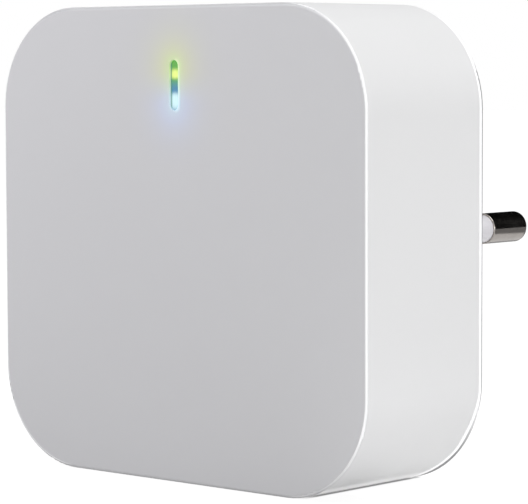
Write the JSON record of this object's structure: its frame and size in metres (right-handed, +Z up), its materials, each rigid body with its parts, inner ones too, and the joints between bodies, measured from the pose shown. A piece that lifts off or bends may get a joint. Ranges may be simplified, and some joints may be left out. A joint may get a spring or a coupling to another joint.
{
  "type": "zigbee gateway",
  "caption": "Plug-in wireless gateway: flat white rounded box with a lit upright slot, a reset button on its side and a round-pin mains plug on its rear.",
  "frame": {"origin": "middle of the plug base's end face, where it meets the socket", "axes": "+Y from the front face to the pins' tips, +X to the right seen from the front, +Z up"},
  "size_m": [0.06, 0.0553, 0.057],
  "materials": {
    "housing": "satin white moulding",
    "cover": "fine-textured white moulding",
    "lens": "clear moulding",
    "shroud": "matt black",
    "lamp_green": "lit",
    "lamp_blue": "lit",
    "board": "solder mask",
    "module": "solder mask",
    "shield": "tinned",
    "chip": "moulded",
    "connector": "moulded",
    "contact": "plain",
    "screw": "zinc plated",
    "button": "satin",
    "switch": "moulded",
    "plunger": "moulded",
    "pin": "bright nickel plate",
    "sleeve": "smooth",
    "ferrite": "sintered",
    "bobbin": "moulded",
    "winding": "taped",
    "can": "sleeved can",
    "resistor": "dipped",
    "disc": "dipped"
  },
  "bodies": {
    "gateway": {"front_housing": "housing", "rear_cover": "cover", "light_guide": "lens", "light_shroud": "shroud", "led_green": "lamp_green", "led_blue": "lamp_blue", "main_board": "board", "power_board": "board", "wifi_module": "module", "wifi_shield": "shield", "mesh_module": "module", "mesh_shield": "shield", "voltage_regulator": "chip", "board_socket": "connector", "board_header": "connector", "header_pins": "contact", "housing_screws": "screw", "main_board_screws": "screw", "power_board_screws": "screw", "reset_switch": "switch", "plug_pin_left": "pin", "plug_pin_right": "pin", "pin_sleeve_left": "sleeve", "pin_sleeve_right": "sleeve", "contact_strip_left": "contact", "contact_strip_right": "contact", "transformer_core": "ferrite", "transformer_bobbin": "bobbin", "transformer_winding": "winding", "bulk_capacitor_left": "can", "bulk_capacitor_right": "can", "output_capacitor": "can", "filter_inductor": "ferrite", "fuse_resistor": "resistor", "varistor": "disc", "safety_capacitor": "disc", "bridge_rectifier": "chip", "power_controller": "chip", "output_diode": "chip"},
    "button": {"reset_button": "button", "switch_plunger": "plunger"}
  },
  "joints": [
    {"name": "reset_press", "type": "slide", "parent": "gateway", "child": "button", "axis": [1, 0, 0], "range_m": [0, 0.00035], "stiffness_N_per_m": 400, "springref_m": -0.001}
  ]
}
